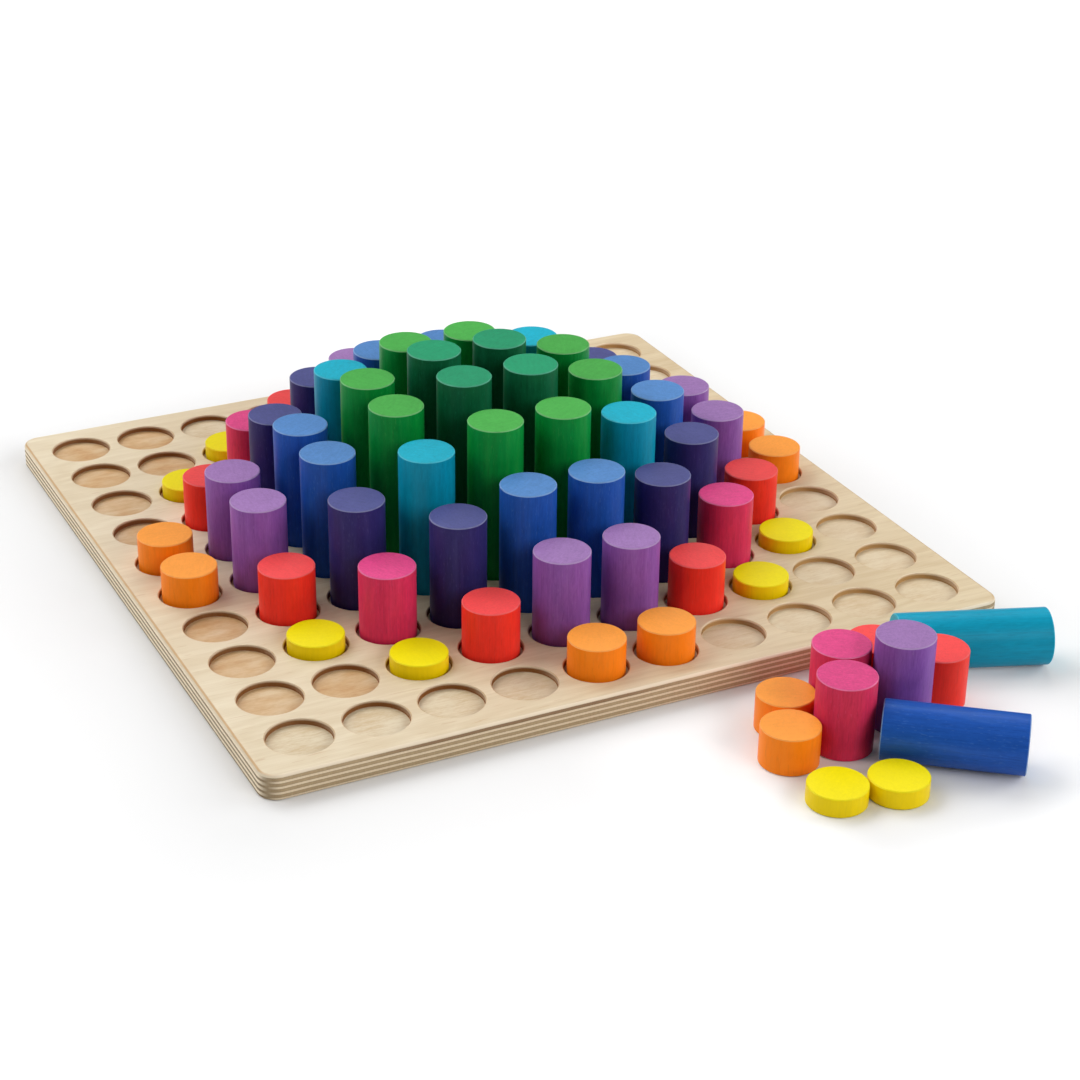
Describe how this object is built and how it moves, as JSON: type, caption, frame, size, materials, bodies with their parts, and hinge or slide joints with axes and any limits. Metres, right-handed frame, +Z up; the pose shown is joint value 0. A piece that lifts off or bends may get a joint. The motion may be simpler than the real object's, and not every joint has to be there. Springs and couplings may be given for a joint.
{
  "type": "counting cylinder set",
  "caption": "Square plywood board with a grid of shallow round recesses, and painted wooden cylinders of stepped lengths that stand in them or beside it, for counting and building.",
  "frame": {"origin": "middle of the board's underside", "axes": "+Z up from the underside, +X along the board's front edge to the right, +Y from the front edge back"},
  "size_m": [0.4182, 0.5575, 0.1103],
  "materials": {
    "plywood": "clear satin lacquer on birch",
    "yellow": "satin yellow stain on beech",
    "orange": "satin orange stain on beech",
    "red": "satin red stain on beech",
    "pink": "satin pink stain on beech",
    "purple": "satin purple stain on beech",
    "indigo": "satin indigo stain on beech",
    "blue": "satin blue stain on beech",
    "teal": "satin teal stain on beech",
    "green": "satin green stain on beech",
    "dark_green": "satin dark green stain on beech"
  },
  "bodies": {
    "board": {"board": "plywood"},
    "orange_2_row1_place5": {"orange_2_row1_place5": "orange"},
    "orange_2_row1_place6": {"orange_2_row1_place6": "orange"},
    "yellow_1_row2_place3": {"yellow_1_row2_place3": "yellow"},
    "red_3_row2_place4": {"red_3_row2_place4": "red"},
    "purple_5_row2_place5": {"purple_5_row2_place5": "purple"},
    "purple_5_row2_place6": {"purple_5_row2_place6": "purple"},
    "red_3_row2_place7": {"red_3_row2_place7": "red"},
    "yellow_1_row2_place8": {"yellow_1_row2_place8": "yellow"},
    "yellow_1_row3_place2": {"yellow_1_row3_place2": "yellow"},
    "pink_4_row3_place3": {"pink_4_row3_place3": "pink"},
    "indigo_6_row3_place4": {"indigo_6_row3_place4": "indigo"},
    "blue_7_row3_place5": {"blue_7_row3_place5": "blue"},
    "blue_7_row3_place6": {"blue_7_row3_place6": "blue"},
    "indigo_6_row3_place7": {"indigo_6_row3_place7": "indigo"},
    "pink_4_row3_place8": {"pink_4_row3_place8": "pink"},
    "yellow_1_row3_place9": {"yellow_1_row3_place9": "yellow"},
    "red_3_row4_place2": {"red_3_row4_place2": "red"},
    "indigo_6_row4_place3": {"indigo_6_row4_place3": "indigo"},
    "teal_8_row4_place4": {"teal_8_row4_place4": "teal"},
    "green_9_row4_place5": {"green_9_row4_place5": "green"},
    "green_9_row4_place6": {"green_9_row4_place6": "green"},
    "teal_8_row4_place7": {"teal_8_row4_place7": "teal"},
    "indigo_6_row4_place8": {"indigo_6_row4_place8": "indigo"},
    "red_3_row4_place9": {"red_3_row4_place9": "red"},
    "orange_2_row5_place1": {"orange_2_row5_place1": "orange"},
    "purple_5_row5_place2": {"purple_5_row5_place2": "purple"},
    "blue_7_row5_place3": {"blue_7_row5_place3": "blue"},
    "green_9_row5_place4": {"green_9_row5_place4": "green"},
    "dark_green_10_row5_place5": {"dark_green_10_row5_place5": "dark_green"},
    "dark_green_10_row5_place6": {"dark_green_10_row5_place6": "dark_green"},
    "green_9_row5_place7": {"green_9_row5_place7": "green"},
    "blue_7_row5_place8": {"blue_7_row5_place8": "blue"},
    "purple_5_row5_place9": {"purple_5_row5_place9": "purple"},
    "orange_2_row5_place10": {"orange_2_row5_place10": "orange"},
    "orange_2_row6_place1": {"orange_2_row6_place1": "orange"},
    "purple_5_row6_place2": {"purple_5_row6_place2": "purple"},
    "blue_7_row6_place3": {"blue_7_row6_place3": "blue"},
    "green_9_row6_place4": {"green_9_row6_place4": "green"},
    "dark_green_10_row6_place5": {"dark_green_10_row6_place5": "dark_green"},
    "dark_green_10_row6_place6": {"dark_green_10_row6_place6": "dark_green"},
    "green_9_row6_place7": {"green_9_row6_place7": "green"},
    "blue_7_row6_place8": {"blue_7_row6_place8": "blue"},
    "purple_5_row6_place9": {"purple_5_row6_place9": "purple"},
    "orange_2_row6_place10": {"orange_2_row6_place10": "orange"},
    "red_3_row7_place2": {"red_3_row7_place2": "red"},
    "indigo_6_row7_place3": {"indigo_6_row7_place3": "indigo"},
    "teal_8_row7_place4": {"teal_8_row7_place4": "teal"},
    "green_9_row7_place5": {"green_9_row7_place5": "green"},
    "loose_orange_back": {"loose_orange_back": "orange"},
    "loose_orange_front": {"loose_orange_front": "orange"},
    "loose_pink_back": {"loose_pink_back": "pink"},
    "loose_pink_front": {"loose_pink_front": "pink"},
    "loose_purple": {"loose_purple": "purple"},
    "loose_red_right": {"loose_red_right": "red"},
    "loose_red_back": {"loose_red_back": "red"},
    "loose_yellow_left": {"loose_yellow_left": "yellow"},
    "loose_yellow_right": {"loose_yellow_right": "yellow"},
    "loose_blue_lying": {"loose_blue_lying": "blue"},
    "loose_teal_lying": {"loose_teal_lying": "teal"}
  },
  "joints": [
    {"name": "lift_orange_2_row1_place5", "type": "slide", "parent": "board", "child": "orange_2_row1_place5", "axis": [0, 0, 1], "range_m": [0, 0.105]},
    {"name": "lift_orange_2_row1_place6", "type": "slide", "parent": "board", "child": "orange_2_row1_place6", "axis": [0, 0, 1], "range_m": [0, 0.105]},
    {"name": "lift_yellow_1_row2_place3", "type": "slide", "parent": "board", "child": "yellow_1_row2_place3", "axis": [0, 0, 1], "range_m": [0, 0.105]},
    {"name": "lift_red_3_row2_place4", "type": "slide", "parent": "board", "child": "red_3_row2_place4", "axis": [0, 0, 1], "range_m": [0, 0.105]},
    {"name": "lift_purple_5_row2_place5", "type": "slide", "parent": "board", "child": "purple_5_row2_place5", "axis": [0, 0, 1], "range_m": [0, 0.105]},
    {"name": "lift_purple_5_row2_place6", "type": "slide", "parent": "board", "child": "purple_5_row2_place6", "axis": [0, 0, 1], "range_m": [0, 0.105]},
    {"name": "lift_red_3_row2_place7", "type": "slide", "parent": "board", "child": "red_3_row2_place7", "axis": [0, 0, 1], "range_m": [0, 0.105]},
    {"name": "lift_yellow_1_row2_place8", "type": "slide", "parent": "board", "child": "yellow_1_row2_place8", "axis": [0, 0, 1], "range_m": [0, 0.105]},
    {"name": "lift_yellow_1_row3_place2", "type": "slide", "parent": "board", "child": "yellow_1_row3_place2", "axis": [0, 0, 1], "range_m": [0, 0.105]},
    {"name": "lift_pink_4_row3_place3", "type": "slide", "parent": "board", "child": "pink_4_row3_place3", "axis": [0, 0, 1], "range_m": [0, 0.105]},
    {"name": "lift_indigo_6_row3_place4", "type": "slide", "parent": "board", "child": "indigo_6_row3_place4", "axis": [0, 0, 1], "range_m": [0, 0.105]},
    {"name": "lift_blue_7_row3_place5", "type": "slide", "parent": "board", "child": "blue_7_row3_place5", "axis": [0, 0, 1], "range_m": [0, 0.105]},
    {"name": "lift_blue_7_row3_place6", "type": "slide", "parent": "board", "child": "blue_7_row3_place6", "axis": [0, 0, 1], "range_m": [0, 0.105]},
    {"name": "lift_indigo_6_row3_place7", "type": "slide", "parent": "board", "child": "indigo_6_row3_place7", "axis": [0, 0, 1], "range_m": [0, 0.105]},
    {"name": "lift_pink_4_row3_place8", "type": "slide", "parent": "board", "child": "pink_4_row3_place8", "axis": [0, 0, 1], "range_m": [0, 0.105]},
    {"name": "lift_yellow_1_row3_place9", "type": "slide", "parent": "board", "child": "yellow_1_row3_place9", "axis": [0, 0, 1], "range_m": [0, 0.105]},
    {"name": "lift_red_3_row4_place2", "type": "slide", "parent": "board", "child": "red_3_row4_place2", "axis": [0, 0, 1], "range_m": [0, 0.105]},
    {"name": "lift_indigo_6_row4_place3", "type": "slide", "parent": "board", "child": "indigo_6_row4_place3", "axis": [0, 0, 1], "range_m": [0, 0.105]},
    {"name": "lift_teal_8_row4_place4", "type": "slide", "parent": "board", "child": "teal_8_row4_place4", "axis": [0, 0, 1], "range_m": [0, 0.105]},
    {"name": "lift_green_9_row4_place5", "type": "slide", "parent": "board", "child": "green_9_row4_place5", "axis": [0, 0, 1], "range_m": [0, 0.105]},
    {"name": "lift_green_9_row4_place6", "type": "slide", "parent": "board", "child": "green_9_row4_place6", "axis": [0, 0, 1], "range_m": [0, 0.105]},
    {"name": "lift_teal_8_row4_place7", "type": "slide", "parent": "board", "child": "teal_8_row4_place7", "axis": [0, 0, 1], "range_m": [0, 0.105]},
    {"name": "lift_indigo_6_row4_place8", "type": "slide", "parent": "board", "child": "indigo_6_row4_place8", "axis": [0, 0, 1], "range_m": [0, 0.105]},
    {"name": "lift_red_3_row4_place9", "type": "slide", "parent": "board", "child": "red_3_row4_place9", "axis": [0, 0, 1], "range_m": [0, 0.105]},
    {"name": "lift_orange_2_row5_place1", "type": "slide", "parent": "board", "child": "orange_2_row5_place1", "axis": [0, 0, 1], "range_m": [0, 0.105]},
    {"name": "lift_purple_5_row5_place2", "type": "slide", "parent": "board", "child": "purple_5_row5_place2", "axis": [0, 0, 1], "range_m": [0, 0.105]},
    {"name": "lift_blue_7_row5_place3", "type": "slide", "parent": "board", "child": "blue_7_row5_place3", "axis": [0, 0, 1], "range_m": [0, 0.105]},
    {"name": "lift_green_9_row5_place4", "type": "slide", "parent": "board", "child": "green_9_row5_place4", "axis": [0, 0, 1], "range_m": [0, 0.105]},
    {"name": "lift_dark_green_10_row5_place5", "type": "slide", "parent": "board", "child": "dark_green_10_row5_place5", "axis": [0, 0, 1], "range_m": [0, 0.105]},
    {"name": "lift_dark_green_10_row5_place6", "type": "slide", "parent": "board", "child": "dark_green_10_row5_place6", "axis": [0, 0, 1], "range_m": [0, 0.105]},
    {"name": "lift_green_9_row5_place7", "type": "slide", "parent": "board", "child": "green_9_row5_place7", "axis": [0, 0, 1], "range_m": [0, 0.105]},
    {"name": "lift_blue_7_row5_place8", "type": "slide", "parent": "board", "child": "blue_7_row5_place8", "axis": [0, 0, 1], "range_m": [0, 0.105]},
    {"name": "lift_purple_5_row5_place9", "type": "slide", "parent": "board", "child": "purple_5_row5_place9", "axis": [0, 0, 1], "range_m": [0, 0.105]},
    {"name": "lift_orange_2_row5_place10", "type": "slide", "parent": "board", "child": "orange_2_row5_place10", "axis": [0, 0, 1], "range_m": [0, 0.105]},
    {"name": "lift_orange_2_row6_place1", "type": "slide", "parent": "board", "child": "orange_2_row6_place1", "axis": [0, 0, 1], "range_m": [0, 0.105]},
    {"name": "lift_purple_5_row6_place2", "type": "slide", "parent": "board", "child": "purple_5_row6_place2", "axis": [0, 0, 1], "range_m": [0, 0.105]},
    {"name": "lift_blue_7_row6_place3", "type": "slide", "parent": "board", "child": "blue_7_row6_place3", "axis": [0, 0, 1], "range_m": [0, 0.105]},
    {"name": "lift_green_9_row6_place4", "type": "slide", "parent": "board", "child": "green_9_row6_place4", "axis": [0, 0, 1], "range_m": [0, 0.105]},
    {"name": "lift_dark_green_10_row6_place5", "type": "slide", "parent": "board", "child": "dark_green_10_row6_place5", "axis": [0, 0, 1], "range_m": [0, 0.105]},
    {"name": "lift_dark_green_10_row6_place6", "type": "slide", "parent": "board", "child": "dark_green_10_row6_place6", "axis": [0, 0, 1], "range_m": [0, 0.105]},
    {"name": "lift_green_9_row6_place7", "type": "slide", "parent": "board", "child": "green_9_row6_place7", "axis": [0, 0, 1], "range_m": [0, 0.105]},
    {"name": "lift_blue_7_row6_place8", "type": "slide", "parent": "board", "child": "blue_7_row6_place8", "axis": [0, 0, 1], "range_m": [0, 0.105]},
    {"name": "lift_purple_5_row6_place9", "type": "slide", "parent": "board", "child": "purple_5_row6_place9", "axis": [0, 0, 1], "range_m": [0, 0.105]},
    {"name": "lift_orange_2_row6_place10", "type": "slide", "parent": "board", "child": "orange_2_row6_place10", "axis": [0, 0, 1], "range_m": [0, 0.105]},
    {"name": "lift_red_3_row7_place2", "type": "slide", "parent": "board", "child": "red_3_row7_place2", "axis": [0, 0, 1], "range_m": [0, 0.105]},
    {"name": "lift_indigo_6_row7_place3", "type": "slide", "parent": "board", "child": "indigo_6_row7_place3", "axis": [0, 0, 1], "range_m": [0, 0.105]},
    {"name": "lift_teal_8_row7_place4", "type": "slide", "parent": "board", "child": "teal_8_row7_place4", "axis": [0, 0, 1], "range_m": [0, 0.105]},
    {"name": "lift_green_9_row7_place5", "type": "slide", "parent": "board", "child": "green_9_row7_place5", "axis": [0, 0, 1], "range_m": [0, 0.105]},
    {"name": "lift_loose_orange_back", "type": "slide", "parent": "board", "child": "loose_orange_back", "axis": [0, 0, 1], "range_m": [0, 0.105]},
    {"name": "lift_loose_orange_front", "type": "slide", "parent": "board", "child": "loose_orange_front", "axis": [0, 0, 1], "range_m": [0, 0.105]},
    {"name": "lift_loose_pink_back", "type": "slide", "parent": "board", "child": "loose_pink_back", "axis": [0, 0, 1], "range_m": [0, 0.105]},
    {"name": "lift_loose_pink_front", "type": "slide", "parent": "board", "child": "loose_pink_front", "axis": [0, 0, 1], "range_m": [0, 0.105]},
    {"name": "lift_loose_purple", "type": "slide", "parent": "board", "child": "loose_purple", "axis": [0, 0, 1], "range_m": [0, 0.105]},
    {"name": "lift_loose_red_right", "type": "slide", "parent": "board", "child": "loose_red_right", "axis": [0, 0, 1], "range_m": [0, 0.105]},
    {"name": "lift_loose_red_back", "type": "slide", "parent": "board", "child": "loose_red_back", "axis": [0, 0, 1], "range_m": [0, 0.105]},
    {"name": "lift_loose_yellow_left", "type": "slide", "parent": "board", "child": "loose_yellow_left", "axis": [0, 0, 1], "range_m": [0, 0.105]},
    {"name": "lift_loose_yellow_right", "type": "slide", "parent": "board", "child": "loose_yellow_right", "axis": [0, 0, 1], "range_m": [0, 0.105]},
    {"name": "lift_loose_blue_lying", "type": "slide", "parent": "board", "child": "loose_blue_lying", "axis": [0, 0, 1], "range_m": [0, 0.105]},
    {"name": "lift_loose_teal_lying", "type": "slide", "parent": "board", "child": "loose_teal_lying", "axis": [0, 0, 1], "range_m": [0, 0.105]}
  ]
}
